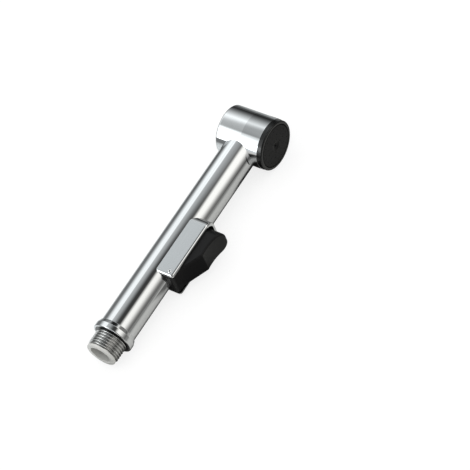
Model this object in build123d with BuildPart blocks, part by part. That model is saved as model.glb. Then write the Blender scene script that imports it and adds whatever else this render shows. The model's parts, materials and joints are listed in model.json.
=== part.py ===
from build123d import *
import os
from math import cos, radians, sqrt

# Handheld bidet shower: a chromed brass handle with a trigger valve and a short side-spray head.
# The handle lies along X, with the first full crest of its hose thread at the origin and the head at
# the far end.
# The head sprays towards -Y, the side that the trigger is on. That side is the front, and a "front"
# value below is a distance towards it: a front of 12 lies at Y = -12. All sizes are millimetres.

os.makedirs("parts", exist_ok=True)

# Hose thread and collar
thread_radius = 10.4775
thread_length = 9.9
thread_chamfer = 0.7
undercut_radius = 9.3
undercut_length = 0.6
collar_radius = 13.3
collar_band = 3.5
collar_bead = 0.45
collar_slope = 2.4
collar_drop = 0.85
collar_cove = 0.8
collar_step = 0.12
nipple_bore_radius = 8.3
nipple_spigot_length = 10.5

# Handle tube
tube_radius = 11.75
tube_wall = 1.2
spigot_clearance = 0.03

# White inlet insert
insert_flange_radius = 9.92
insert_flange_thickness = 1.5
insert_edge_radius = 0.7
insert_mouth_radius = 0.4
insert_bore_radius = 7.0
insert_bore_depth = 13.8
insert_throat_length = 2.2
insert_clearance = 0.04

# Water pipes and the O-rings at their ends
pipe_radius = 4.5
pipe_bore_radius = 3.2
pipe_end_radius = 5.35
pipe_end_length = 6.5
socket_clearance = 0.1
socket_depth = 8.0
pipe_end_gap = 0.5
ring_groove_depth = 1.05
ring_groove_width = 1.5
ring_groove_inset = 1.8
ring_clearance = 0.02
squeezed_corner = 0.586

# Trigger hinge and the lever that it works on the plunger
hinge_x = 61.5
hinge_rise = 1.75
pin_radius = 1.25
pin_running_clearance = 0.05
pin_dimple_radius = 0.55
pin_dimple_depth = 0.5
pin_hole_bevel = 0.3
pin_head_rise = 0.15
lever_arm = 18.0
trigger_swing = 6.5

# Trigger, as distances from the hinge along the handle and heights above the tube
trigger_half_width = 8.35
trigger_tail = 3.4
trigger_nose = 39.9
trigger_heel_rise = 5.0
trigger_heel_radius = 2.6
trigger_slope_start = 2.6
trigger_ridge_at = 18.9
trigger_ridge_rise = 13.1
trigger_ridge_radius = 1.3
trigger_thumb_rise = 16.3
trigger_dip = 1.55
trigger_nose_radius = 6.4
trigger_edge_radius = 1.1
trigger_wall = 1.8
trigger_rib = 1.6
trigger_lug_radius = 2.9
trigger_lug_inset = 3.4
trigger_pad_radius = 2.8
tail_clearance = 0.15
trigger_clearance = 0.3
underside_rise = 6.9

# Trigger cradle
cradle_side_gap = 0.43
cradle_nose_gap = 1.5
cradle_wall = 2.0
cradle_rise = 5.67
cradle_tail = 3.0
cradle_nose_radius = 7.0
cradle_heel_radius = 1.8
cradle_edge_radius = 1.5
cradle_floor = 1.0
cradle_boss_rise = 0.25
cradle_boss_margin = 0.4

# Valve
valve_clearance = 0.2
seat_front = 0.6
seat_radius = 3.0
seat_lip = 0.4
seat_lip_width = 0.6
seat_web = 0.8
front_chamber_radius = 4.0
front_chamber_height = 2.5
gland_web = 0.8
back_chamber_radius = 4.9
socket_web = 1.3
outlet_web = 4.9
inlet_way_radius = 2.6
outlet_way_radius = 1.5

# Plunger, its seals and its spring
stem_radius = 2.0
stem_running_clearance = 0.05
stem_proud = 2.75
stem_dome = 0.68
neck_radius = 1.5
washer_radius = 4.4
washer_thickness = 1.6
washer_seat_gap = 0.05
plunger_flange_radius = 4.2
plunger_flange_thickness = 1.2
spring_spigot_radius = 1.6
spring_spigot_length = 1.1
pad_gap = 0.2
stem_ring_section = 1.8
spring_wire_radius = 0.3
spring_wire_side_count = 6
spring_coil_radius = 2.75
spring_turns = 3.25
spring_end_gap = 0.06

# Gland nut, back plug and cradle screw
gland_radius = 5.0
gland_head_across_flats = 10.2
gland_head_height = 1.3
plug_radius = 5.8
plug_thickness = 1.9
plug_recess = 0.07
plug_slot_width = 1.6
plug_slot_depth = 0.9
gasket_thickness = 0.8
screw_radius = 1.5
screw_head_radius = 2.6
screw_head_height = 1.3
screw_slot_width = 0.7
screw_slot_depth = 0.6
screw_length = 5.4
screw_from_socket = 2.4
hole_clearance = 0.15

# Spray head
head_x = 173.7
head_radius = 16.85
head_front = 16.0
head_back = 15.85
head_wall = 2.2
head_back_wall = 1.8
head_edge_radius = 1.2
head_neck_length = 9.0
head_thread_radius = 15.35
head_thread_depth = 7.0
outlet_throat_radius = 3.6

# Black nozzle: the cap, the drilled disc in its face and the screw at its centre
cap_radius = 16.6
cap_rise = 3.5
cap_edge_radius = 0.9
cap_skirt_wall = 1.5
cap_floor = 1.5
cap_clearance = 0.05
head_gasket_thickness = 1.0
disc_radius = 14.5
disc_thickness = 1.3
disc_gap = 0.1
disc_bevel = 0.6
plenum_depth = 1.5
plenum_step = 0.9
spray_hole_radius = 0.3
spray_hole_side_count = 8
spray_ring_radii = (4.6, 8.2, 11.8)
spray_hole_counts = (6, 12, 18)
passage_radius = 1.9
passage_ring_radius = 9.0
passage_count = 6
boss_radius = 2.6
face_screw_radius = 0.9
dish_radius = 3.5
dish_depth = 0.45
face_screw_head_radius = 1.75
face_screw_length = 4.5
face_screw_dimple = 0.9

# How far a cut runs on past what it cuts, and how near two places count as one
overrun = 1.0
same_place = 0.01

# Stations along the handle
nipple_start = -thread_chamfer
insert_start = nipple_start - insert_flange_thickness
collar_start = thread_length + undercut_length
collar_end = collar_start + collar_band + collar_slope + collar_cove
collar_neck_radius = tube_radius + collar_step
tube_bore_radius = tube_radius - tube_wall
spigot_radius = tube_bore_radius - spigot_clearance
nipple_end = collar_end + nipple_spigot_length
socket_radius = pipe_end_radius + socket_clearance
insert_socket_start = insert_bore_depth + insert_throat_length
insert_end = insert_socket_start + socket_depth
insert_radius = nipple_bore_radius - insert_clearance
plunger_x = hinge_x + lever_arm
inlet_socket_end = plunger_x - back_chamber_radius - socket_web
valve_start = inlet_socket_end - socket_depth
outlet_socket_start = plunger_x + back_chamber_radius + outlet_web
valve_end = outlet_socket_start + socket_depth
head_neck_start = head_x - head_radius - head_neck_length
head_socket_end = head_neck_start + socket_depth
screw_x = outlet_socket_start + screw_from_socket

# Heights on the front of the handle
hinge_front = tube_radius + hinge_rise
cradle_front = tube_radius + cradle_rise
floor_radius = tube_radius + cradle_floor
boss_front = floor_radius + cradle_boss_rise
gland_top = boss_front + gland_head_height
plunger_front = gland_top + stem_proud
pad_front = plunger_front + pad_gap
underside_front = tube_radius + underside_rise

# Depths in the valve, from the seat towards the front and from the valve body's back
valve_radius = tube_bore_radius - valve_clearance
web_front = seat_front + seat_lip
front_chamber_floor = web_front + seat_web
front_chamber_front = front_chamber_floor + front_chamber_height
stem_ring_back = front_chamber_front + gland_web
gland_back = stem_ring_back + stem_ring_section
plug_back = plug_recess - sqrt(valve_radius**2 - plug_radius**2)
plug_front = plug_back + plug_thickness
gasket_front = plug_front + gasket_thickness
washer_front = seat_front - washer_seat_gap
washer_back = washer_front - washer_thickness
flange_back = washer_back - plunger_flange_thickness

# Cradle and trigger widths
cradle_inner_half = trigger_half_width + cradle_side_gap
cradle_half = cradle_inner_half + cradle_wall
cradle_start = hinge_x - cradle_tail
trigger_end = hinge_x + trigger_nose
cradle_inner_end = trigger_end + cradle_nose_gap
cradle_end = cradle_inner_end + cradle_wall
floor_start = hinge_x + trigger_lug_radius + 2 * trigger_clearance
gland_head_radius = gland_head_across_flats / 2 / cos(radians(30))
gland_boss_radius = gland_head_radius + cradle_boss_margin
screw_boss_radius = screw_head_radius + cradle_boss_margin
floor_end = screw_x + screw_boss_radius + cradle_boss_margin

# Working planes: side has the front upwards, front_face looks at the spray side
side = Plane(origin=(0, 0, 0), x_dir=(1, 0, 0), z_dir=(0, 0, -1))
front_face = Plane.XZ
plunger_side = Plane(origin=(plunger_x, 0, 0), x_dir=(1, 0, 0), z_dir=(0, 0, -1))
plunger_axis = Axis((plunger_x, 0, 0), (0, 1, 0))
head_side = Plane(origin=(head_x, 0, 0), x_dir=(1, 0, 0), z_dir=(0, 0, -1))
head_axis = Axis((head_x, 0, 0), (0, 1, 0))


def save(solid, name):
    """Label one finished piece and write it to its own file."""
    solid.label = name
    export_step(solid, "parts/" + name + ".step")


def ring_section(groove_depth):
    """Half the height of an O-ring that fills a groove under its socket."""
    return (groove_depth + socket_clearance) / 2 - ring_clearance


def turned(plane, axis, points):
    """A turned piece: a closed outline of (radius or station, height) points, revolved."""
    with BuildPart() as piece:
        with BuildSketch(plane):
            with BuildLine():
                Polyline(*points, close=True)
            make_face()
        revolve(axis=axis)
    return piece


# Handle tube: coped to the round of the head, drilled for the gland nut and the cradle screw
with BuildPart() as handle_tube:
    with BuildSketch(Plane.YZ.offset(collar_end)):
        Circle(tube_radius)
        Circle(tube_bore_radius, mode=Mode.SUBTRACT)
    extrude(amount=head_x - collar_end)
    with BuildSketch(front_face.offset(-head_radius)):
        with Locations((head_x, 0)):
            Circle(head_radius)
    extrude(amount=2 * head_radius, mode=Mode.SUBTRACT)
    with BuildSketch(front_face):
        with Locations((plunger_x, 0)):
            Circle(gland_radius + hole_clearance)
        with Locations((screw_x, 0)):
            Circle(screw_radius + hole_clearance)
    extrude(amount=2 * tube_radius, mode=Mode.SUBTRACT)
save(handle_tube.part, "handle_tube")

# Inlet nipple: turned in one piece, with the hose thread, an undercut, the collar and a spigot
with BuildPart() as inlet_nipple:
    with BuildSketch(side):
        with BuildLine():
            Polyline(
                (nipple_start, nipple_bore_radius),
                (nipple_start, thread_radius - thread_chamfer),
                (0, thread_radius),
                (thread_length - thread_chamfer, thread_radius),
                (thread_length, undercut_radius),
                (collar_start, undercut_radius),
                (collar_start, collar_radius - collar_bead),
                (collar_start + collar_bead, collar_radius),
                (collar_start + collar_band, collar_radius),
            )
            Line(
                (collar_start + collar_band, collar_radius),
                (collar_end - collar_cove, collar_radius - collar_drop),
            )
            TangentArc(
                (collar_end, collar_neck_radius),
                (collar_end - collar_cove, collar_radius - collar_drop),
                tangent=(-1, 0),
            )
            Polyline(
                (collar_end, collar_neck_radius),
                (collar_end, spigot_radius),
                (nipple_end, spigot_radius),
                (nipple_end, nipple_bore_radius),
                (nipple_start, nipple_bore_radius),
            )
        make_face()
    revolve(axis=Axis.X)
save(inlet_nipple.part, "inlet_nipple")

# Inlet insert: white sleeve whose flange is the seat of the hose washer
with BuildPart() as inlet_insert:
    with BuildSketch(side):
        with BuildLine():
            Polyline(
                (insert_start, insert_bore_radius),
                (insert_start, insert_flange_radius),
                (nipple_start, insert_flange_radius),
                (nipple_start, insert_radius),
                (insert_end, insert_radius),
                (insert_end, socket_radius),
                (insert_socket_start, socket_radius),
                (insert_socket_start, pipe_bore_radius),
                (insert_bore_depth, insert_bore_radius),
                close=True,
            )
        make_face()
        outer_corner = vertices().sort_by_distance((insert_start, insert_flange_radius, 0))[0]
        fillet(outer_corner, insert_edge_radius)
        mouth_corner = vertices().sort_by_distance((insert_start, insert_bore_radius, 0))[0]
        fillet(mouth_corner, insert_mouth_radius)
    revolve(axis=Axis.X)
save(inlet_insert.part, "inlet_insert")


def water_pipe(start, end):
    """A plastic pipe along X, thicker at both ends, with an O-ring groove in each."""
    groove = pipe_end_radius - ring_groove_depth
    lower = start + ring_groove_inset
    upper = end - ring_groove_inset
    return turned(side, Axis.X, (
        (start, pipe_bore_radius),
        (start, pipe_end_radius),
        (lower, pipe_end_radius),
        (lower, groove),
        (lower + ring_groove_width, groove),
        (lower + ring_groove_width, pipe_end_radius),
        (start + pipe_end_length, pipe_end_radius),
        (start + pipe_end_length, pipe_radius),
        (end - pipe_end_length, pipe_radius),
        (end - pipe_end_length, pipe_end_radius),
        (upper - ring_groove_width, pipe_end_radius),
        (upper - ring_groove_width, groove),
        (upper, groove),
        (upper, pipe_end_radius),
        (end, pipe_end_radius),
        (end, pipe_bore_radius),
    ))


def pipe_ring(centre):
    """An O-ring on a pipe end, squeezed flat where it bears on its groove and on its socket."""
    section = ring_section(ring_groove_depth)
    with BuildPart() as ring:
        with BuildSketch(side):
            with Locations((centre, pipe_end_radius - ring_groove_depth + ring_clearance + section)):
                Rectangle(2 * section, 2 * section)
            chamfer(vertices(), section * squeezed_corner)
        revolve(axis=Axis.X)
    return ring


lower_pipe_start = insert_socket_start + pipe_end_gap
lower_pipe_end = inlet_socket_end - pipe_end_gap
upper_pipe_start = outlet_socket_start + pipe_end_gap
upper_pipe_end = head_socket_end - pipe_end_gap
groove_centre = ring_groove_inset + ring_groove_width / 2

lower_water_pipe = water_pipe(lower_pipe_start, lower_pipe_end)
save(lower_water_pipe.part, "lower_water_pipe")
upper_water_pipe = water_pipe(upper_pipe_start, upper_pipe_end)
save(upper_water_pipe.part, "upper_water_pipe")

insert_oring = pipe_ring(lower_pipe_start + groove_centre)
save(insert_oring.part, "insert_oring")
valve_inlet_oring = pipe_ring(lower_pipe_end - groove_centre)
save(valve_inlet_oring.part, "valve_inlet_oring")
valve_outlet_oring = pipe_ring(upper_pipe_start + groove_centre)
save(valve_outlet_oring.part, "valve_outlet_oring")
head_oring = pipe_ring(upper_pipe_end - groove_centre)
save(head_oring.part, "head_oring")


# Valve body: a barrel in the tube with a cross bore for the plunger and a pipe socket at each end
stem_ring_radius = stem_radius + stem_ring_section
with BuildPart() as valve_body:
    with BuildSketch(Plane.YZ.offset(valve_start)):
        Circle(valve_radius)
    extrude(amount=valve_end - valve_start)
    # Cross bore, from the gland thread at the front to the plug thread at the back
    with BuildSketch(plunger_side):
        with BuildLine():
            Polyline(
                (0, valve_radius + overrun),
                (gland_radius, valve_radius + overrun),
                (gland_radius, gland_back),
                (stem_ring_radius, gland_back),
                (stem_ring_radius, stem_ring_back),
                (stem_radius + stem_running_clearance, stem_ring_back),
                (stem_radius + stem_running_clearance, front_chamber_front),
                (front_chamber_radius, front_chamber_front),
                (front_chamber_radius, front_chamber_floor),
                (seat_radius, front_chamber_floor),
                (seat_radius, seat_front),
                (seat_radius + seat_lip_width, seat_front),
                (seat_radius + seat_lip_width, web_front),
                (back_chamber_radius, web_front),
                (back_chamber_radius, gasket_front),
                (plug_radius, gasket_front),
                (plug_radius, -valve_radius - overrun),
                (0, -valve_radius - overrun),
                close=True,
            )
        make_face()
    revolve(axis=plunger_axis, mode=Mode.SUBTRACT)
    # Pipe sockets
    with BuildSketch(Plane.YZ.offset(valve_start)):
        Circle(socket_radius)
    extrude(amount=socket_depth, mode=Mode.SUBTRACT)
    with BuildSketch(Plane.YZ.offset(outlet_socket_start)):
        Circle(socket_radius)
    extrude(amount=socket_depth, mode=Mode.SUBTRACT)
    # Ways from the sockets to the chambers behind and before the seat
    with BuildSketch(Plane.YZ.offset(inlet_socket_end)):
        with Locations((inlet_way_radius - seat_front, 0)):
            Circle(inlet_way_radius)
    extrude(amount=plunger_x - inlet_socket_end, mode=Mode.SUBTRACT)
    with BuildSketch(Plane.YZ.offset(plunger_x)):
        with Locations((-(front_chamber_floor + front_chamber_front) / 2, 0)):
            Circle(outlet_way_radius)
    extrude(amount=outlet_socket_start - plunger_x, mode=Mode.SUBTRACT)
    # Tapped hole for the cradle screw
    screw_back = boss_front - screw_length
    with BuildSketch(front_face.offset(screw_back)):
        with Locations((screw_x, 0)):
            Circle(screw_radius)
    extrude(amount=tube_radius - screw_back, mode=Mode.SUBTRACT)
save(valve_body.part, "valve_body")

# Gland nut: clamps the cradle to the tube, guides the stem and holds its O-ring
with BuildPart() as gland_nut:
    with BuildSketch(front_face.offset(gland_back)):
        with Locations((plunger_x, 0)):
            Circle(gland_radius)
    extrude(amount=boss_front - gland_back)
    with BuildSketch(front_face.offset(boss_front)):
        with Locations((plunger_x, 0)):
            RegularPolygon(gland_head_radius, 6)
    extrude(amount=gland_head_height)
    with BuildSketch(front_face.offset(gland_back)):
        with Locations((plunger_x, 0)):
            Circle(stem_radius + stem_running_clearance)
    extrude(amount=gland_top - gland_back, mode=Mode.SUBTRACT)
save(gland_nut.part, "gland_nut")

# Stem O-ring, in the pocket between the gland nut and the valve body
with BuildPart() as plunger_oring:
    with BuildSketch(plunger_side):
        with Locations((stem_radius + stem_ring_section / 2,
                        stem_ring_back + stem_ring_section / 2)):
            Rectangle(stem_ring_section - 2 * ring_clearance, stem_ring_section - 2 * ring_clearance)
        chamfer(vertices(), stem_ring_section / 2 * squeezed_corner)
    revolve(axis=plunger_axis)
save(plunger_oring.part, "plunger_oring")

# Plunger: domed stem, neck for the washer, flange and spring spigot, turned in one piece
stem_end = front_chamber_floor + stem_radius
with BuildPart() as plunger:
    with BuildSketch(plunger_side):
        with BuildLine():
            TangentArc((0, plunger_front), (stem_radius, plunger_front - stem_dome), tangent=(1, 0))
            Polyline(
                (stem_radius, plunger_front - stem_dome),
                (stem_radius, stem_end),
                (neck_radius, stem_end - (stem_radius - neck_radius)),
                (neck_radius, washer_back),
                (plunger_flange_radius, washer_back),
                (plunger_flange_radius, flange_back),
                (spring_spigot_radius, flange_back),
                (spring_spigot_radius, flange_back - spring_spigot_length),
                (0, flange_back - spring_spigot_length),
                (0, plunger_front),
            )
        make_face()
    revolve(axis=plunger_axis)
save(plunger.part, "plunger")

# Valve washer: the rubber disc on the plunger that closes the seat
with BuildPart() as valve_washer:
    with BuildSketch(front_face.offset(washer_back)):
        with Locations((plunger_x, 0)):
            Circle(washer_radius)
            Circle(neck_radius + ring_clearance, mode=Mode.SUBTRACT)
    extrude(amount=washer_thickness)
save(valve_washer.part, "valve_washer")

# Return spring, between the plunger's flange and the back plug
spring_front = flange_back - spring_end_gap - spring_wire_radius
spring_back = plug_front + spring_end_gap + spring_wire_radius
spring_length = spring_front - spring_back
spring_line = Helix(
    pitch=spring_length / spring_turns,
    height=spring_length,
    radius=spring_coil_radius,
    center=(plunger_x, -spring_back, 0),
    direction=(0, -1, 0),
)
with BuildPart() as return_spring:
    with BuildSketch(Plane(origin=spring_line @ 0, z_dir=spring_line % 0)):
        RegularPolygon(spring_wire_radius, spring_wire_side_count)
    sweep(path=spring_line, is_frenet=True)
save(return_spring.part, "return_spring")

# Back plug with its screwdriver slot, and the gasket under it
with BuildPart() as valve_plug:
    with BuildSketch(front_face.offset(plug_back)):
        with Locations((plunger_x, 0)):
            Circle(plug_radius)
    extrude(amount=plug_thickness)
    with BuildSketch(front_face.offset(plug_back)):
        with Locations((plunger_x, 0)):
            Rectangle(2 * plug_radius, plug_slot_width)
    extrude(amount=plug_slot_depth, mode=Mode.SUBTRACT)
save(valve_plug.part, "valve_plug")

with BuildPart() as plug_gasket:
    with BuildSketch(front_face.offset(plug_front)):
        with Locations((plunger_x, 0)):
            Circle(plug_radius)
            Circle(back_chamber_radius, mode=Mode.SUBTRACT)
    extrude(amount=gasket_thickness)
save(plug_gasket.part, "plug_gasket")


def is_cradle_rim(edge):
    """True for the outer edges of the cheeks and the end wall, from one cheek's heel to the other's."""
    size = edge.bounding_box().size
    middle = edge.center()
    in_front = abs(middle.Y + cradle_front) < same_place
    across_heel = size.X < same_place and middle.X < cradle_end - same_place
    at_heel = abs(middle.Z) > cradle_half - same_place and middle.X < cradle_start + cradle_heel_radius
    return (in_front and not across_heel) or (at_heel and middle.Y < -same_place)


# Trigger cradle: two cheeks and a rounded end wall that stand on the tube, with a floor between
# them that is clamped under the gland nut
with BuildPart() as trigger_cradle:
    with BuildSketch(front_face):
        with Locations(((cradle_start + cradle_end) / 2, 0)):
            Rectangle(cradle_end - cradle_start, 2 * cradle_half)
        fillet(vertices().group_by(Axis.X)[-1], cradle_nose_radius)
    extrude(amount=cradle_front)
    front_corners = edges().filter_by(Axis.Z).group_by(Axis.X)[0].group_by(Axis.Y)[0]
    fillet(front_corners, cradle_heel_radius)
    fillet(edges().filter_by(is_cradle_rim), cradle_edge_radius)
    with BuildSketch(front_face):
        with Locations(((cradle_start + cradle_inner_end) / 2 - cradle_wall, 0)):
            Rectangle(cradle_inner_end - cradle_start + 2 * cradle_wall, 2 * cradle_inner_half)
        fillet(vertices().group_by(Axis.X)[-1], cradle_nose_radius - cradle_wall)
    extrude(amount=cradle_front, mode=Mode.SUBTRACT)
    # Floor, with raised seats for the gland nut and the screw
    with BuildSketch(Plane.YZ.offset(floor_start)):
        Circle(floor_radius)
        with Locations((floor_radius, 0)):
            Rectangle(2 * floor_radius, 2 * floor_radius, mode=Mode.SUBTRACT)
        Rectangle(2 * floor_radius, 2 * cradle_inner_half, mode=Mode.INTERSECT)
    extrude(amount=floor_end - floor_start)
    with BuildSketch(front_face):
        with Locations((plunger_x, 0)):
            Circle(gland_boss_radius)
        with Locations((screw_x, 0)):
            Circle(screw_boss_radius)
    extrude(amount=boss_front)
    # Hollow that fits the tube, then the holes
    with BuildSketch(Plane.YZ.offset(cradle_start - cradle_wall)):
        Circle(tube_radius)
    extrude(amount=cradle_end - cradle_start + 2 * cradle_wall, mode=Mode.SUBTRACT)
    with BuildSketch(front_face):
        with Locations((plunger_x, 0)):
            Circle(gland_radius + hole_clearance)
        with Locations((screw_x, 0)):
            Circle(screw_radius + hole_clearance)
    extrude(amount=cradle_front, mode=Mode.SUBTRACT)
    with BuildSketch(Plane.XY.offset(-cradle_half)):
        with Locations((hinge_x, -hinge_front)):
            Circle(pin_radius)
    extrude(amount=2 * cradle_half, mode=Mode.SUBTRACT)
    for cheek in (-1, 1):
        with BuildSketch(Plane(origin=(0, 0, cheek * cradle_half), x_dir=(1, 0, 0), z_dir=(0, 0, -cheek))):
            with Locations((hinge_x, cheek * hinge_front)):
                Circle(pin_radius + pin_hole_bevel)
        extrude(amount=pin_hole_bevel, taper=45, mode=Mode.SUBTRACT)
save(trigger_cradle.part, "trigger_cradle")

# Cradle screw: slotted pan head, through the floor and the tube into the valve body
with BuildPart() as cradle_screw:
    with BuildSketch(front_face.offset(boss_front - screw_length)):
        with Locations((screw_x, 0)):
            Circle(screw_radius)
    extrude(amount=screw_length)
    with BuildSketch(front_face.offset(boss_front)):
        with Locations((screw_x, 0)):
            Circle(screw_head_radius)
    extrude(amount=screw_head_height)
    chamfer(edges().group_by(Axis.Y)[0], screw_slot_depth / 2)
    with BuildSketch(front_face.offset(boss_front + screw_head_height)):
        with Locations((screw_x, 0)):
            Rectangle(2 * screw_head_radius, screw_slot_width)
    extrude(amount=-screw_slot_depth, mode=Mode.SUBTRACT)
save(cradle_screw.part, "cradle_screw")

# Hinge pin, its dimpled ends a little proud of the cheeks
with BuildPart() as hinge_pin:
    with BuildSketch(Plane.XY.offset(-cradle_half - pin_head_rise)):
        with Locations((hinge_x, -hinge_front)):
            Circle(pin_radius)
    extrude(amount=2 * (cradle_half + pin_head_rise))
    chamfer(edges().filter_by(GeomType.CIRCLE), pin_head_rise)
    with BuildSketch(Plane.XY.offset(cradle_half + pin_head_rise)):
        with Locations((hinge_x, -hinge_front)):
            Circle(pin_dimple_radius)
    extrude(amount=-pin_dimple_depth, mode=Mode.SUBTRACT)
    with BuildSketch(Plane.XY.offset(-cradle_half - pin_head_rise)):
        with Locations((hinge_x, -hinge_front)):
            Circle(pin_dimple_radius)
    extrude(amount=pin_dimple_depth, mode=Mode.SUBTRACT)
save(hinge_pin.part, "hinge_pin")

# Trigger outline seen from the side: heel, straight slope, ridge and hollow rising to the thumb end
tail_x = hinge_x - trigger_tail
heel_front = tube_radius + trigger_heel_rise
ridge_x = hinge_x + trigger_ridge_at
ridge_front = tube_radius + trigger_ridge_rise
thumb_front = tube_radius + trigger_thumb_rise
hollow_x = (ridge_x + trigger_end) / 2
hollow_front = (ridge_front + thumb_front) / 2 - trigger_dip
with BuildSketch(side) as trigger_outline:
    with BuildLine():
        Polyline(
            (trigger_end, thumb_front),
            (trigger_end, 0),
            (tail_x, 0),
            (tail_x, heel_front),
            (hinge_x + trigger_slope_start, heel_front),
            (ridge_x, ridge_front),
        )
        ThreePointArc((ridge_x, ridge_front), (hollow_x, hollow_front), (trigger_end, thumb_front))
    make_face()
    fillet(vertices().sort_by_distance((tail_x, heel_front, 0))[0], trigger_heel_radius)
    fillet(vertices().sort_by_distance((ridge_x, ridge_front, 0))[0], trigger_ridge_radius)


def tube_clearance(gap, start, end, swing):
    """The round of the tube with a gap, from start to end, as the trigger sees it once swung."""
    hinge_line = Axis((hinge_x, -hinge_front, 0), (0, 0, 1))
    with BuildPart() as core:
        with BuildSketch(Plane.YZ.offset(start)):
            Circle(tube_radius + gap)
        extrude(amount=end - start)
    return core.part.rotate(hinge_line, -swing)


rest_tube = tube_clearance(tail_clearance, tail_x - overrun, trigger_end + overrun, 0)
swung_tube = tube_clearance(trigger_clearance, hinge_x, cradle_end, trigger_swing)
swung_floor = tube_clearance(
    cradle_floor + trigger_clearance, floor_start - overrun, floor_end + overrun, trigger_swing
)


def trigger_block(inset):
    """The trigger's plan, with its rounded thumb end, as an upright block drawn in by an inset."""
    with BuildPart() as block:
        with BuildSketch(front_face):
            with Locations(((tail_x + trigger_end) / 2, 0)):
                Rectangle(trigger_end - tail_x - 2 * inset, 2 * (trigger_half_width - inset))
            fillet(vertices().group_by(Axis.X)[-1], trigger_nose_radius - inset)
        extrude(amount=2 * thumb_front)
    return block.part


outer_block = trigger_block(0)
inner_block = trigger_block(trigger_wall)


def is_trigger_rim(edge):
    """True for the edges that bound the trigger's front face, false for creases and corners."""
    size = edge.bounding_box().size
    middle = edge.center()
    crease = size.X < same_place and size.Y < same_place and middle.X < trigger_end - same_place
    corner = size.X < same_place and size.Z < same_place and middle.X > hinge_x
    return not crease and not corner and middle.Y < -same_place


# Hollow of the trigger, less what stands in it: the hinge lugs, the ribs and the plunger's pad
with BuildSketch(side) as trigger_hollow:
    add(trigger_outline.sketch_local)
    offset(amount=-trigger_wall)
rib_height = thumb_front - underside_front
with BuildPart() as hollow:
    add(trigger_hollow.sketch)
    extrude(amount=trigger_half_width, both=True)
    add(inner_block, mode=Mode.INTERSECT)
    with BuildSketch(front_face.offset(underside_front)):
        with Locations(((tail_x + trigger_end) / 2, 0)):
            Rectangle(trigger_end - tail_x, trigger_rib)
        with Locations((plunger_x - lever_arm / 2, 0), (plunger_x, 0), (plunger_x + lever_arm / 2, 0)):
            Rectangle(trigger_rib, 2 * trigger_half_width)
    extrude(amount=rib_height, mode=Mode.SUBTRACT)
    with BuildSketch(front_face.offset(pad_front)):
        with Locations((plunger_x, 0)):
            Circle(trigger_pad_radius)
    extrude(amount=rib_height, mode=Mode.SUBTRACT)
    for lug_side in (-1, 1):
        lug_start = lug_side * (trigger_half_width - trigger_lug_inset)
        with BuildSketch(Plane.XY.offset(lug_start)):
            with Locations((hinge_x, -hinge_front)):
                Circle(trigger_lug_radius)
        extrude(amount=lug_side * trigger_lug_inset, mode=Mode.SUBTRACT)

# Trigger: a hollow moulding, open towards the tube, its tail cut to bear on the round of the tube
with BuildPart() as trigger:
    add(trigger_outline.sketch)
    extrude(amount=trigger_half_width, both=True)
    add(outer_block, mode=Mode.INTERSECT)
    fillet(edges().filter_by(is_trigger_rim), trigger_edge_radius)
    add(hollow.part, mode=Mode.SUBTRACT)
    add(rest_tube, mode=Mode.SUBTRACT)
    add(swung_tube, mode=Mode.SUBTRACT)
    add(swung_floor, mode=Mode.SUBTRACT)
    with BuildSketch(Plane.XY.offset(-trigger_half_width)):
        with Locations((hinge_x, -hinge_front)):
            Circle(pin_radius + pin_running_clearance)
    extrude(amount=2 * trigger_half_width, mode=Mode.SUBTRACT)
save(trigger.part, "trigger")

# Head shell: a cast cup across the end of the handle, with the neck that the tube fits over
with BuildPart() as head_shell:
    with BuildSketch(Plane.YZ.offset(head_neck_start)):
        Circle(spigot_radius)
    extrude(amount=head_x - head_neck_start)
    with BuildSketch(front_face.offset(-head_back)):
        with Locations((head_x, 0)):
            Circle(head_radius)
    extrude(amount=head_back + head_front)
    fillet(edges().group_by(Axis.Y)[-1], head_edge_radius)
    with BuildSketch(front_face.offset(head_back_wall - head_back)):
        with Locations((head_x, 0)):
            Circle(head_radius - head_wall)
    extrude(amount=head_back + head_front, mode=Mode.SUBTRACT)
    with BuildSketch(front_face.offset(head_front - head_thread_depth)):
        with Locations((head_x, 0)):
            Circle(head_thread_radius)
    extrude(amount=head_thread_depth, mode=Mode.SUBTRACT)
    with BuildSketch(Plane.YZ.offset(head_neck_start)):
        Circle(socket_radius)
    extrude(amount=socket_depth, mode=Mode.SUBTRACT)
    with BuildSketch(Plane.YZ.offset(head_neck_start)):
        Circle(outlet_throat_radius)
    extrude(amount=head_x - head_neck_start, mode=Mode.SUBTRACT)
save(head_shell.part, "head_shell")

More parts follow.
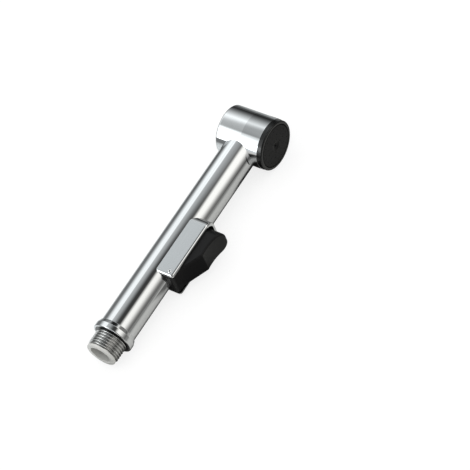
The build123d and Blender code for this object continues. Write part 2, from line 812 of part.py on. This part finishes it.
# Nozzle cap: a black moulding with a skirt in the shell's mouth, a floor with water passages, a
# recess for the spray disc and a boss for its screw
gasket_back = head_front - head_thread_depth
skirt_back = gasket_back + head_gasket_thickness
skirt_radius = head_thread_radius - cap_clearance
cap_front = head_front + cap_rise
disc_back = cap_front - disc_thickness
floor_front = disc_back - plenum_depth
floor_back = floor_front - cap_floor
disc_recess_radius = disc_radius + disc_gap
plenum_radius = disc_recess_radius - plenum_step
with BuildPart() as nozzle_cap:
    with BuildSketch(head_side):
        with BuildLine():
            Polyline(
                (0, floor_back),
                (0, disc_back),
                (boss_radius, disc_back),
                (boss_radius, floor_front),
                (plenum_radius, floor_front),
                (plenum_radius, disc_back),
                (disc_recess_radius, disc_back),
                (disc_recess_radius, cap_front),
                (cap_radius - cap_edge_radius, cap_front),
            )
            RadiusArc(
                (cap_radius - cap_edge_radius, cap_front),
                (cap_radius, cap_front - cap_edge_radius),
                cap_edge_radius,
            )
            Polyline(
                (cap_radius, cap_front - cap_edge_radius),
                (cap_radius, head_front),
                (skirt_radius, head_front),
                (skirt_radius, skirt_back),
                (skirt_radius - cap_skirt_wall, skirt_back),
                (skirt_radius - cap_skirt_wall, floor_back),
                (0, floor_back),
            )
        make_face()
    revolve(axis=head_axis)
    with BuildSketch(front_face.offset(floor_back)):
        with Locations((head_x, 0)):
            with PolarLocations(passage_ring_radius, passage_count):
                Circle(passage_radius)
    extrude(amount=cap_floor, mode=Mode.SUBTRACT)
    with BuildSketch(front_face.offset(disc_back)):
        with Locations((head_x, 0)):
            Circle(face_screw_radius)
    extrude(amount=-(disc_back - floor_back), mode=Mode.SUBTRACT)
save(nozzle_cap.part, "nozzle_cap")

# Head gasket, between the skirt of the cap and the shoulder in the shell
with BuildPart() as head_gasket:
    with BuildSketch(front_face.offset(gasket_back)):
        with Locations((head_x, 0)):
            Circle(skirt_radius)
            Circle(head_radius - head_wall, mode=Mode.SUBTRACT)
    extrude(amount=head_gasket_thickness)
save(head_gasket.part, "head_gasket")

# Spray disc: flush in the cap, with rings of small holes and a dish with a countersink for the screw
screw_front = cap_front - dish_depth
countersink_depth = face_screw_head_radius - face_screw_radius
with BuildPart() as spray_disc:
    with BuildSketch(front_face.offset(disc_back)):
        with Locations((head_x, 0)):
            Circle(disc_radius)
            Circle(face_screw_radius + disc_gap, mode=Mode.SUBTRACT)
            for ring_radius, hole_count in zip(spray_ring_radii, spray_hole_counts):
                with PolarLocations(ring_radius, hole_count):
                    RegularPolygon(spray_hole_radius, spray_hole_side_count, mode=Mode.SUBTRACT)
    extrude(amount=disc_thickness)
    front_rims = edges().group_by(Axis.Y)[0].filter_by(GeomType.CIRCLE)
    chamfer(front_rims.sort_by(SortBy.RADIUS)[-1], disc_bevel)
    with BuildSketch(head_side):
        with BuildLine():
            Polyline(
                (0, screw_front - countersink_depth),
                (face_screw_radius, screw_front - countersink_depth),
                (face_screw_head_radius, screw_front),
                (dish_radius, cap_front),
                (0, cap_front),
                close=True,
            )
        make_face()
    revolve(axis=head_axis, mode=Mode.SUBTRACT)
save(spray_disc.part, "spray_disc")

# Face screw: countersunk, dimpled, from the disc into the boss of the cap
face_screw_end = screw_front - face_screw_length
with BuildPart() as face_screw:
    with BuildSketch(head_side):
        with BuildLine():
            Polyline(
                (0, screw_front - face_screw_dimple),
                (face_screw_dimple, screw_front - ring_clearance),
                (face_screw_head_radius - ring_clearance, screw_front - ring_clearance),
                (face_screw_radius - ring_clearance, screw_front - countersink_depth - ring_clearance),
                (face_screw_radius - ring_clearance, face_screw_end),
                (0, face_screw_end),
                close=True,
            )
        make_face()
    revolve(axis=head_axis)
save(face_screw.part, "face_screw")
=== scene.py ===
import json

import bpy
import numpy as np
from mathutils import Matrix


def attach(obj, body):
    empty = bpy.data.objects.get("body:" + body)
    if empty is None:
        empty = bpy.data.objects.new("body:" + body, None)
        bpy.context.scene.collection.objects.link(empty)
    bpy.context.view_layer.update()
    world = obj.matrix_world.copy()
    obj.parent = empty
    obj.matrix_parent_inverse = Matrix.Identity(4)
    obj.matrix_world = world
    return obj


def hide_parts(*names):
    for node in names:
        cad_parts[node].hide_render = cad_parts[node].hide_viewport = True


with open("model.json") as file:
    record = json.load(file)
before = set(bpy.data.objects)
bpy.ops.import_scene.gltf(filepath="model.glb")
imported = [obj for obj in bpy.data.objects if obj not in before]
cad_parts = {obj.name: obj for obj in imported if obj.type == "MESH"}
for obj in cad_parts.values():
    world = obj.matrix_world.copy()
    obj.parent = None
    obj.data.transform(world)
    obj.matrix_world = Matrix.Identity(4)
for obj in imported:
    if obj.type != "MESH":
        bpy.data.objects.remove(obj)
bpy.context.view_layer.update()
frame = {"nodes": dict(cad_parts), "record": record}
MM = 0.001
DEGREES = 180 / np.pi
CHROME = (0.80, 0.81, 0.825)


# Surfaces

def smooth_step(low, high, value):
    """0 below low, 1 above high, and 3t^2 - 2t^3 in between."""
    t = np.clip((value - low) / (high - low), 0.0, 1.0)
    return t * t * (3.0 - 2.0 * t)


def rounded_path(corners, radii, edge_steps, arc_steps=6, guard=0.03):
    """A closed outline with its corners rounded off by arcs.

    Each corner P with unit vectors a and b to its neighbours gets an arc that leaves the edges at a
    distance d = r / tan(half the angle) from P, limited to 0.45 of the shorter edge. The edges between
    the arcs are divided evenly, each by its own step, with one guard point close to each arc so that
    they shade flat.
    """
    corners = np.asarray(corners, float)
    count = len(corners)
    pieces = []
    ends = []
    for i in range(count):
        point = corners[i]
        back = corners[i - 1] - point
        ahead = corners[(i + 1) % count] - point
        reach = min(np.linalg.norm(back), np.linalg.norm(ahead))
        a = back / np.linalg.norm(back)
        b = ahead / np.linalg.norm(ahead)
        half = np.arccos(np.clip(a @ b, -1, 1)) / 2
        cut = min(radii[i] / np.tan(half), 0.45 * reach) if radii[i] > 0 else 0.0
        if cut == 0.0:
            pieces.append(point[None])
        else:
            radius = cut * np.tan(half)
            middle = point + (a + b) / np.linalg.norm(a + b) * radius / np.sin(half)
            first = point + a * cut - middle
            last = point + b * cut - middle
            turn = np.pi - 2 * half
            t = np.linspace(0, 1, arc_steps + 1)[:, None]
            arc = (np.sin((1 - t) * turn) * first + np.sin(t * turn) * last) / np.sin(turn)
            pieces.append(middle + arc)
        ends.append((pieces[-1][0], pieces[-1][-1]))
    path = []
    for i in range(count):
        path.append(pieces[i])
        start, stop = ends[i][1], ends[(i + 1) % count][0]
        length = np.linalg.norm(stop - start)
        if length > 3 * guard:
            steps = max(int(np.ceil(length / edge_steps[i])), 1)
            inner = np.linspace(0, 1, steps + 1)[1:-1]
            t = np.concatenate([[guard / length], inner, [1 - guard / length]])[:, None]
            path.append(start + (stop - start) * t)
    return np.concatenate(path)


def grid_mesh(name, points, closed_rows=True):
    """A mesh of quads from a rows x columns grid of points in millimetres. Its columns wrap round."""
    rows, columns = points.shape[:2]
    index = np.arange(rows * columns).reshape(rows, columns)
    if closed_rows:
        index = np.concatenate([index, index[:1]])
    index = np.concatenate([index, index[:, :1]], axis=1)
    corners = [index[:-1, :-1], index[:-1, 1:], index[1:, 1:], index[1:, :-1]]
    quads = np.stack(corners, axis=-1).reshape(-1, 4)
    mesh = bpy.data.meshes.new(name)
    mesh.from_pydata((points.reshape(-1, 3) * MM).tolist(), [], quads.tolist())
    mesh.update()
    mesh.shade_smooth()
    piece = bpy.data.objects.new(name, mesh)
    bpy.context.scene.collection.objects.link(piece)
    return piece


# Shader maths

class Value:
    """A socket of a node tree. Arithmetic on it adds Math nodes to the tree."""

    def __init__(self, graph, socket):
        self.graph = graph
        self.socket = socket

    def __add__(self, other):
        return self.graph.math("ADD", self, other)

    def __sub__(self, other):
        return self.graph.math("SUBTRACT", self, other)

    def __rsub__(self, other):
        return self.graph.math("SUBTRACT", other, self)

    def __mul__(self, other):
        return self.graph.math("MULTIPLY", self, other)

    __radd__ = __add__
    __rmul__ = __mul__


class Graph:
    """A node tree that is written as expressions."""

    def __init__(self, tree):
        self.tree = tree
        tree.nodes.clear()

    def feed(self, socket, given):
        """Links a Value to a socket, or sets the socket to a plain number or colour."""
        if isinstance(given, Value):
            self.tree.links.new(given.socket, socket)
        elif isinstance(given, (tuple, list)) and len(given) == 3 and len(socket.default_value) == 4:
            socket.default_value = (*given, 1.0)
        else:
            socket.default_value = given

    def node(self, kind, settings=(), **sockets):
        """Adds a node: its settings first, then its sockets by name, with _ for a space."""
        made = self.tree.nodes.new(kind)
        for key, setting in dict(settings).items():
            setattr(made, key, setting)
        for key, given in sockets.items():
            self.feed(made.inputs[key.replace("_", " ")], given)
        return made

    def out(self, made, name=0):
        return Value(self, made.outputs[name])

    def math(self, operation, *given):
        made = self.node("ShaderNodeMath", {"operation": operation})
        for socket, value in zip(made.inputs, given):
            self.feed(socket, value)
        return self.out(made)

    def ramp(self, value, low, high, start=0.0, end=1.0):
        """value from low to high, eased, as start to end."""
        return self.out(self.node(
            "ShaderNodeMapRange", {"interpolation_type": "SMOOTHSTEP"},
            Value=value, From_Min=low, From_Max=high, To_Min=start, To_Max=end,
        ))

    def larger(self, first, second):
        return self.math("MAXIMUM", first, second)

    def bell(self, value, middle, half, soft):
        """1 within half of the middle and 0 beyond half + soft, eased."""
        return self.ramp(self.math("ABSOLUTE", value - middle), half, half + soft, 1.0, 0.0)

    def mix(self, factor, first, second):
        """A colour between two colours."""
        made = self.node("ShaderNodeMix", {"data_type": "RGBA"})
        for socket, value in zip((0, 6, 7), (factor, first, second)):
            self.feed(made.inputs[socket], value)
        return self.out(made, 2)

    def axes(self, vector):
        made = self.node("ShaderNodeSeparateXYZ", Vector=vector)
        return [self.out(made, axis) for axis in range(3)]

    def place(self):
        """Object coordinates, and their three axes."""
        vector = self.out(self.node("ShaderNodeTexCoord"), "Object")
        return vector, self.axes(vector)

    def noise(self, vector, scale, detail=3.0, roughness=0.5, stretch=None):
        if stretch:
            vector = self.out(self.node("ShaderNodeMapping", Vector=vector, Scale=stretch))
        return self.out(self.node(
            "ShaderNodeTexNoise", Vector=vector, Scale=scale, Detail=detail, Roughness=roughness,
        ))

    def bump(self, height, strength, distance):
        return self.out(self.node("ShaderNodeBump", Height=height, Strength=strength, Distance=distance))

    def surface(self, shader):
        made = self.node("ShaderNodeOutputMaterial")
        self.tree.links.new(shader.outputs[0], made.inputs["Surface"])


def new_material(name):
    material = bpy.data.materials.new(name)
    material.use_nodes = True
    return material, Graph(material.node_tree)


def polished_chrome(name, tone=CHROME, gloss=0.045):
    """Chrome plate: nearly a mirror, with faint smears in its gloss and a hardly visible waviness."""
    material, g = new_material(name)
    vector, _ = g.place()
    smear = g.ramp(g.noise(vector, 55.0, 4.0, 0.6, stretch=(0.35, 1.0, 1.0)), 0.42, 0.75)
    wave = g.noise(vector, 120.0, 2.0)
    dark = tuple(c * 0.97 for c in tone)
    g.surface(g.node(
        "ShaderNodeBsdfPrincipled", Base_Color=g.mix(smear, tone, dark), Metallic=1.0,
        Roughness=gloss + smear * 0.03, Normal=g.bump(wave, 0.05, 0.0001),
    ))
    return material


def head_chrome(name, line=-0.0018, shade=0.77):
    """The head's chrome plate: bright, and a shade darker from a faint line round it to its mouth."""
    material, g = new_material(name)
    vector, (_, y, _) = g.place()
    smear = g.ramp(g.noise(vector, 55.0, 4.0, 0.6, stretch=(1.0, 0.35, 1.0)), 0.42, 0.75)
    wave = g.noise(vector, 120.0, 2.0)
    mouth = g.ramp(y, line - 0.0008, line, 1.0, 0.0)
    plated = g.mix(smear, CHROME, (0.78, 0.79, 0.80))
    toned = g.mix(mouth, plated, tuple(c * shade for c in CHROME))
    g.surface(g.node(
        "ShaderNodeBsdfPrincipled", Base_Color=toned, Metallic=1.0,
        Roughness=0.045 + smear * 0.03, Normal=g.bump(wave, 0.05, 0.0001),
    ))
    return material


def threaded_chrome(name, root=0.0093, crest=0.0102, thread_end=0.0101, shoulder=0.0106):
    """The nipple's chrome plate: bright on the collar, satin on the thread, with painted shade and more
    roughness in its roots.

    The undercut and the foot of the collar's shoulder behind it carry the darkest painted shade, all the
    way round.
    """
    material, g = new_material(name)
    vector, (x, y, z) = g.place()
    radius = g.math("SQRT", y * y + z * z)
    threaded = g.ramp(x, thread_end, thread_end + 0.0003, 1.0, 0.0)
    roots = g.ramp(radius, root, crest, 1.0, 0.0) * threaded
    # painted shade: the undercut and the foot of the collar's shoulder are masked for the darkest tone
    foot = g.ramp(radius, 0.0118, 0.0123, 1.0, 0.0) * g.ramp(x, shoulder, shoulder + 0.0001, 1.0, 0.0)
    recess = foot * (1.0 - threaded)
    smear = g.ramp(g.noise(vector, 160.0, 4.0, 0.6), 0.42, 0.75)
    plated = g.mix(smear, CHROME, (0.76, 0.77, 0.785))
    satin = g.mix(threaded, plated, (0.70, 0.70, 0.695))
    # painted shade: the thread's roots are darkened as if in shadow
    shaded_roots = g.mix(roots, satin, (0.40, 0.40, 0.395))
    g.surface(g.node(
        # painted shade: a 0.12 grey in the recess stands in for shadow; the recess is also rougher
        "ShaderNodeBsdfPrincipled", Base_Color=g.mix(recess, shaded_roots, (0.12, 0.12, 0.12)),
        Metallic=1.0, Roughness=0.06 + threaded * 0.08 + roots * 0.12 + recess * 0.25 + smear * 0.03,
    ))
    return material


def brushed_cheeks(name, flat, soft=0.00015):
    """The cradle's chrome: bright rounded rims round two flat cheeks with a fine brushed finish."""
    material, g = new_material(name)
    vector, (_, _, z) = g.place()
    cheek = g.ramp(g.math("ABSOLUTE", z), flat - soft, flat - soft / 5)
    lines = g.noise(vector, 700.0, 3.0, 0.6, stretch=(0.06, 1.0, 1.0))
    brushed = g.mix(lines, (0.49, 0.505, 0.52), (0.56, 0.575, 0.59))
    g.surface(g.node(
        "ShaderNodeBsdfPrincipled", Base_Color=g.mix(cheek, (0.82, 0.83, 0.845), brushed),
        Metallic=1.0, Roughness=0.05 + cheek * (0.14 + lines * 0.06),
        Normal=g.bump(lines * cheek, 0.08, 0.00003),
    ))
    return material


def moulded_plastic(name, colour, gloss=0.38, grain=2600.0, relief=0.10, drift=0.12, shine=0.5):
    """Moulded plastic: a fine grain in the surface and a slow drift of its tone."""
    material, g = new_material(name)
    vector, _ = g.place()
    slow = g.noise(vector, 90.0, 3.0)
    fine = g.noise(vector, grain, 2.0)
    light = tuple(min(c * (1 + drift), 1.0) for c in colour)
    dark = tuple(c * (1 - drift) for c in colour)
    g.surface(g.node(
        "ShaderNodeBsdfPrincipled", Base_Color=g.mix(slow, dark, light),
        Roughness=gloss + (fine - 0.5) * 0.12, Normal=g.bump(fine, relief, 0.00005),
        Specular_IOR_Level=shine,
    ))
    return material


def turned_metal(name, colour, gloss=0.28, axis=1):
    """Turned metal: fine rings across one axis, from the tool."""
    material, g = new_material(name)
    vector, _ = g.place()
    rings = g.noise(vector, 400.0, 2.0, stretch=tuple(9.0 if a == axis else 0.2 for a in range(3)))
    dark = tuple(c * 0.82 for c in colour)
    g.surface(g.node(
        "ShaderNodeBsdfPrincipled", Base_Color=g.mix(rings, dark, colour), Metallic=1.0,
        Roughness=gloss + rings * 0.12, Normal=g.bump(rings, 0.15, 0.00004),
    ))
    return material


def dimpled_pin(name, x_at=0.0615, y_at=-0.0135, dimple=0.00055):
    """The hinge pin: bright ground ends, with a dark dimple in each."""
    material, g = new_material(name)
    vector, (x, y, _) = g.place()
    across = x - x_at
    along = y - y_at
    away = g.math("SQRT", across * across + along * along)
    centre = g.ramp(away, dimple, dimple + 0.0001, 1.0, 0.0)
    grind = g.noise(vector, 900.0, 2.0)
    ground = g.mix(grind, (0.82, 0.82, 0.83), (0.90, 0.90, 0.91))
    g.surface(g.node(
        "ShaderNodeBsdfPrincipled", Base_Color=g.mix(centre, ground, (0.03, 0.03, 0.03)),
        Metallic=1.0, Roughness=0.12 + grind * 0.06 + centre * 0.3,
    ))
    return material


def white_insert(name, mouth=-0.0022, depth=0.010):
    """White plastic of the insert: plain white at its face, with painted shade greying it down its bore.
    """
    material, g = new_material(name)
    vector, (x, y, z) = g.place()
    radius = g.math("SQRT", y * y + z * z)
    inside = g.ramp(radius, 0.0070, 0.0075, 1.0, 0.0)
    # painted shade: the bore is greyed more with depth, as if in shadow
    bore_shade = inside * g.ramp(x, mouth, mouth + depth, 0.15, 1.0)
    slow = g.noise(vector, 240.0, 3.0)
    plain_white = g.mix(slow, (0.66, 0.66, 0.635), (0.72, 0.72, 0.695))
    fine = g.noise(vector, 2400.0, 2.0)
    g.surface(g.node(
        # painted shade: the bore's grey is mixed over the plain white
        "ShaderNodeBsdfPrincipled", Base_Color=g.mix(bore_shade, plain_white, (0.30, 0.30, 0.28)),
        Roughness=0.42 + (fine - 0.5) * 0.12, Normal=g.bump(fine, 0.08, 0.00005),
    ))
    return material


def soft_rubber(name, colour=(0.035, 0.035, 0.037)):
    """Nitrile rubber: matt, with a dusty drift."""
    material, g = new_material(name)
    vector, _ = g.place()
    dust = g.noise(vector, 500.0, 4.0)
    g.surface(g.node(
        "ShaderNodeBsdfPrincipled", Base_Color=g.mix(dust, colour, tuple(c * 1.5 for c in colour)),
        Roughness=0.62 + dust * 0.1, Normal=g.bump(dust, 0.1, 0.00005),
    ))
    return material


finishes = {
    "chrome_tube": polished_chrome("tube_chrome"),
    "chrome_nipple": threaded_chrome("nipple_chrome"),
    "chrome_head": head_chrome("head_chrome"),
    "chrome_cradle": brushed_cheeks("cradle_chrome", flat=0.01078),
    "steel_pin": dimpled_pin("pin_steel"),
    "steel_fasteners": turned_metal("screw_steel", (0.60, 0.60, 0.61)),
    "black_screw": turned_metal("blackened_steel", (0.012, 0.012, 0.013), gloss=0.4),
    "brass": turned_metal("gland_brass", (0.72, 0.58, 0.32)),
    "spring_steel": turned_metal("spring_wire", (0.55, 0.55, 0.56)),
    "valve_plastic": moulded_plastic("valve_acetal", (0.75, 0.75, 0.73)),
    "rubber": soft_rubber("seal_rubber"),
    "white_plastic": white_insert("insert_white"),
    "pipe_plastic": moulded_plastic("pipe_white", (0.82, 0.82, 0.80), drift=0.03),
    "black_plastic": moulded_plastic("nozzle_black", (0.004, 0.004, 0.0045), gloss=0.20, shine=0.5),
    "spray_plastic": moulded_plastic("spray_black", (0.005, 0.005, 0.0055), gloss=0.38, shine=0.14),
    "trigger_plastic": moulded_plastic("trigger_black", (0.006, 0.006, 0.0065), gloss=0.36, shine=0.22),
}

slot_of = {entry["node"]: entry["material_slot"] for entry in frame["record"]["subparts"]}
for node, solid in frame["nodes"].items():
    solid.data.materials.clear()
    solid.data.materials.append(finishes[slot_of[node]])


# Inlet nipple with its real thread

THREAD_RADIUS = 10.4775
THREAD_PITCH = 1.814
THREAD_DEPTH = 1.162
NIPPLE_START = -0.7
THREAD_END = 10.25
CREST_AT = 0.3
CHAMFER_END = 0.5
RUN_OUT = 0.3
THREAD_FADE = 0.4
UNDERCUT_RADIUS = 9.3
CREST_REACH = 0.44
FLANK_WIDTH = 0.42
COLLAR_START = 10.5
COLLAR_END = 17.2
COLLAR_RADIUS = 13.3
COLLAR_FLAT = 3.5
CONE_BACK = 0.8
CONE_RADIUS = 12.45
STEP_BACK = 0.7
STEP_RADIUS = 11.87
BORE_RADIUS = 8.3
SPIGOT_RADIUS = 10.52
SPIGOT_END = 27.7
THREAD_STEP = 0.09
PLAIN_STEP = 1.0
NIPPLE_COLUMNS = 180


def make_nipple():
    """The nipple as a surface of revolution whose thread is cut along a helix.

    The outline is a closed path of (x, radius). A point at x and at an angle t round the axis lies at a
    phase p = (x - crest) / pitch - t / 2 pi, wrapped to half a turn either side of the crest. The
    thread's height w is (0.44 - |p|) / 0.42, eased, and the radius is lowered by depth * (1 - w), but
    never below the root. The cut fades to nothing at the undercut. The end chamfer is in the outline.
    """
    outline = [
        (NIPPLE_START, BORE_RADIUS), (NIPPLE_START, UNDERCUT_RADIUS),
        (CHAMFER_END, THREAD_RADIUS), (THREAD_END - RUN_OUT, THREAD_RADIUS),
        (THREAD_END, UNDERCUT_RADIUS), (COLLAR_START, UNDERCUT_RADIUS),
        (COLLAR_START, COLLAR_RADIUS), (COLLAR_START + COLLAR_FLAT, COLLAR_RADIUS),
        (COLLAR_END - CONE_BACK, CONE_RADIUS),
        (COLLAR_END - STEP_BACK, STEP_RADIUS), (COLLAR_END, STEP_RADIUS),
        (COLLAR_END, SPIGOT_RADIUS), (SPIGOT_END, SPIGOT_RADIUS), (SPIGOT_END, BORE_RADIUS),
    ]
    radii = [0.2, 0.15, 0.0, 0.0, 0.1, 0.2, 0.7, 0.8, 0.2, 0.25, 0.0, 0.1, 0.2, 0.2]
    edge_steps = np.full(len(outline), PLAIN_STEP)
    edge_steps[1:4] = THREAD_STEP
    path = rounded_path(outline, radii, edge_steps)
    around = np.linspace(0, 2 * np.pi, NIPPLE_COLUMNS, endpoint=False)
    x = np.repeat(path[:, :1], len(around), axis=1)
    radius = np.repeat(path[:, 1:], len(around), axis=1)
    phase = (x - CREST_AT) / THREAD_PITCH - around / (2 * np.pi)
    phase -= np.round(phase)
    height = smooth_step(0.0, 1.0, (CREST_REACH - np.abs(phase)) / FLANK_WIDTH)
    outside = (radius > UNDERCUT_RADIUS + 0.05) & (x < THREAD_END)
    fade = 1.0 - smooth_step(THREAD_END - THREAD_FADE, THREAD_END, x)
    cut = THREAD_DEPTH * (1.0 - height) * fade * outside
    radius = np.where(outside, np.maximum(radius - cut, THREAD_RADIUS - THREAD_DEPTH), radius)
    points = np.stack([x, -radius * np.sin(around), radius * np.cos(around)], axis=-1)
    return grid_mesh("threaded_nipple", points)


nipple = make_nipple()
nipple.data.materials.append(finishes["chrome_nipple"])
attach(nipple, "shower_body")
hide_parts("inlet_nipple")


# Studio

def aim_camera():
    """The camera that fits the photograph: 1.16 m off, 38 degrees round and 53 degrees up."""
    lens = bpy.data.cameras.new("camera")
    lens.sensor_width = 36.0
    lens.lens = 147.5
    lens.clip_start = 0.05
    lens.clip_end = 20.0
    camera = bpy.data.objects.new("camera", lens)
    right = (0.51777, -0.81925, -0.24645)
    up = (0.76816, 0.31838, 0.55548)
    back = (-0.37661, -0.47693, 0.79417)
    placed = Matrix((right, up, back)).transposed().to_4x4()
    placed.translation = (-0.3419, -0.5973, 0.9427)
    camera.matrix_world = placed
    bpy.context.scene.collection.objects.link(camera)
    bpy.context.scene.camera = camera


def light_room():
    """A white room to the camera, and to the metal a studio of soft boxes and dark cards.

    A direction's turn is its angle about the handle in degrees: 0 is up, 90 the horizon at the front
    and -90 the horizon at the rear. A rear and a front box run along the handle. A weaker one closes
    the gap over the top between them, where a direction's x is under 0.2 and again near 0.66, and a
    fourth box stands beyond the hose end. The dim sky between the boxes changes with the turn too.
    The card beyond the head, the four flags and the lamp are round patches, which grow with the
    cosine of the angle between the direction and their middle. A weak fill stands at the rear on the
    hose's side.
    """
    world = bpy.data.worlds.new("studio")
    bpy.context.scene.world = world
    world.use_nodes = True
    g = Graph(world.node_tree)
    x, y, z = g.axes(g.out(g.node("ShaderNodeTexCoord"), "Generated"))
    turn = g.math("ARCTAN2", 0.0 - y, z) * DEGREES
    widen = g.larger(0.0, x - 0.33) * 60.0
    rear_box = g.ramp(turn + widen, -84.0, -48.0) * g.ramp(turn - x * 4.0, -33.5, -29.0, 1.0, 0.0)
    front_box = g.ramp(turn + widen, 20.0, 40.0) * g.ramp(turn - widen, 48.0, 88.0, 1.0, 0.0)
    near_end = g.larger(g.ramp(x, 0.34, 0.42, 1.0, 0.35), g.ramp(turn, 30.0, 60.0))
    dip = g.bell(turn, 17.0, 3.0, 9.0) * g.ramp(x, 0.34, 0.42, 0.0, 0.12)
    dim = (
        0.2 + g.ramp(turn, -34.0, -28.0, 0.0, 0.38) - g.ramp(turn, -28.0, -18.0, 0.0, 0.10)
        - g.ramp(turn, -20.0, 10.0, 0.0, 0.43) * near_end + g.ramp(turn, 40.0, 90.0, 0.0, 0.12) - dip
    )
    beyond = g.ramp(x, 0.50, 0.62) * g.ramp(x, 0.70, 0.82, 1.0, 0.0)
    closed = g.larger(g.ramp(x, 0.0, 0.2, 1.0, 0.0), beyond)
    top_box = closed * g.ramp(turn, -26.0, -10.0) * g.ramp(turn, 20.0, 45.0, 1.0, 0.0) * 0.8
    end_box = g.ramp(x, -0.88, -0.72, 1.0, 0.0) * g.ramp(y, 0.15, 0.35, 1.0, 0.0)
    end_box = end_box * g.ramp(z, 0.0, 0.12)
    boxes = g.larger(g.larger(rear_box, front_box), g.larger(top_box, end_box))
    card = g.math("MINIMUM", 1.0, 0.025 + (1.0 - (x * 0.873 + y * 0.488)) * 2.6)
    clear = g.ramp(y, 0.50, 0.68) * g.ramp(x, 0.45, 0.62, 1.0, 0.0)
    card = g.larger(card, clear)
    flag = g.ramp(x * 0.861 + y * 0.132 + z * 0.492, 0.93, 0.985, 1.0, 0.05)
    end_flag = g.ramp(x * 0.86 - y * 0.49 + z * 0.17, 0.88, 0.965, 1.0, 0.18)
    side_flag = g.ramp(z * 0.84 - x * 0.45 - y * 0.30, 0.82, 0.89, 1.0, 0.04)
    low_flag = g.ramp(z * 0.30 - x * 0.72 - y * 0.62, 0.92, 0.98, 1.0, 0.04)
    lamp = g.ramp(y * 0.485 - x * 0.82 + z * 0.30, 0.975, 0.99) * 3.0
    fill = g.ramp(x, -0.42, -0.30, 0.6, 0.0) * g.ramp(y, 0.36, 0.44) * g.ramp(z, 0.15, 0.30)
    full = 1.16 + g.ramp(x, 0.34, 0.42, 0.0, 0.10)
    sky = dim + boxes * (full - dim)
    seen = sky * card * flag * end_flag * side_flag * low_flag + (lamp + fill)
    dome = g.ramp(z, -0.2, 0.9, 0.50, 1.05)
    rays = g.node("ShaderNodeLightPath")
    camera_ray = g.out(rays, "Is Camera Ray")
    diffuse_ray = g.out(rays, "Is Diffuse Ray")
    glossy_ray = 1.0 - g.larger(camera_ray, diffuse_ray)
    strength = camera_ray + diffuse_ray * dome + glossy_ray * seen
    tint = g.mix(g.ramp(turn, -5.0, 30.0), (0.965, 1.0, 1.0), (1.0, 0.99, 0.945))
    colour = g.mix(glossy_ray, (1.0, 1.0, 1.0), tint)
    background = g.node("ShaderNodeBackground", Color=colour, Strength=strength)
    made = g.node("ShaderNodeOutputWorld")
    g.tree.links.new(background.outputs[0], made.inputs["Surface"])


HEAD_X = 173.7
COLLAR_X = 13.0
FLOOR_AT_HEAD = -16.86
FLOOR_AT_COLLAR = -13.31
FLOOR_SLOPES_FROM = -5.0
FLOOR_SLOPES_TO = 195.0
FLOOR_MIDDLE_X = 90.0
FLOOR_RINGS = (1.0, 60.0, 100.0, 130.0, 200.0, 900.0)
FLOOR_COLUMNS = 96
FLOOR_TONE = 0.28
FLOOR_GLOW = 0.78


def lay_floor():
    """A pale floor that touches the head and the collar, white to the camera with the shadow kept.

    It slopes only under the part and is level beyond it, so that it hides nothing from the ends. To
    every other ray it is a painted pool of light that falls off across and along the part, with three
    painted shadows in it and a painted glow that is weaker behind the part.
    """
    slope = (FLOOR_AT_HEAD - FLOOR_AT_COLLAR) / (HEAD_X - COLLAR_X)
    radius = np.array(FLOOR_RINGS)[:, None]
    around = np.linspace(0, 2 * np.pi, FLOOR_COLUMNS, endpoint=False)
    x = FLOOR_MIDDLE_X + radius * np.cos(around)
    y = radius * np.sin(around)
    z = FLOOR_AT_COLLAR + slope * (np.clip(x, FLOOR_SLOPES_FROM, FLOOR_SLOPES_TO) - COLLAR_X)
    floor = grid_mesh("floor", np.stack([x, y, z], axis=-1), closed_rows=False)
    material, g = new_material("floor_board")
    rays = g.node("ShaderNodeLightPath")
    camera_ray = g.out(rays, "Is Camera Ray")
    _, (px, py, _) = g.place()
    # painted pool of light, seen only by reflected rays: bright just behind the part, dimmer in front
    # and far off
    rear_pool = g.ramp(py, 0.018, 0.085, 0.95, 0.20)
    front_pool = g.ramp(py, -0.10, -0.03, 0.20, 0.50)
    pool = g.math("MINIMUM", rear_pool, front_pool + g.ramp(py, -0.005, 0.010, 0.0, 0.6))
    far = g.ramp(px, 0.175, 0.24, 1.0, 0.42)
    # painted shadows, seen only by reflected rays: under the part, beside it near the head and in front
    # of its middle
    under = 1.0 - g.bell(py, -0.002, 0.007, 0.008) * 0.8
    beside = 1.0 - g.bell(py, -0.009, 0.006, 0.007) * g.ramp(px, 0.136, 0.150) * 0.85
    below = 1.0 - g.bell(px, 0.073, 0.010, 0.012) * g.bell(py, -0.034, 0.010, 0.012) * 0.75
    reflected = (1.0 - camera_ray) * pool * far * under * beside * below
    tone = camera_ray * FLOOR_TONE + reflected
    # the painted pool is warmer in front of the part and cooler behind it
    blue = tone - reflected * g.ramp(py, -0.010, 0.010, 0.055, 0.0)
    red = tone - reflected * g.ramp(py, -0.010, 0.010, 0.0, 0.035)
    colour = g.out(g.node("ShaderNodeCombineColor", Red=red, Green=tone, Blue=blue))
    # painted glow: to reflected rays the floor gives off light of its own, weaker behind the part; to
    # the camera it glows evenly
    shine = camera_ray * FLOOR_GLOW + reflected * g.ramp(py, 0.008, 0.022, 0.25, 0.02)
    glow = g.out(g.node("ShaderNodeCombineColor", Red=shine, Green=shine, Blue=shine))
    g.surface(g.node(
        "ShaderNodeBsdfPrincipled", Base_Color=colour, Roughness=1.0, Specular_IOR_Level=0.0,
        Emission_Color=glow, Emission_Strength=1.0,
    ))
    floor.data.materials.append(material)


aim_camera()
light_room()
lay_floor()
bpy.context.scene.view_settings.view_transform = "Standard"
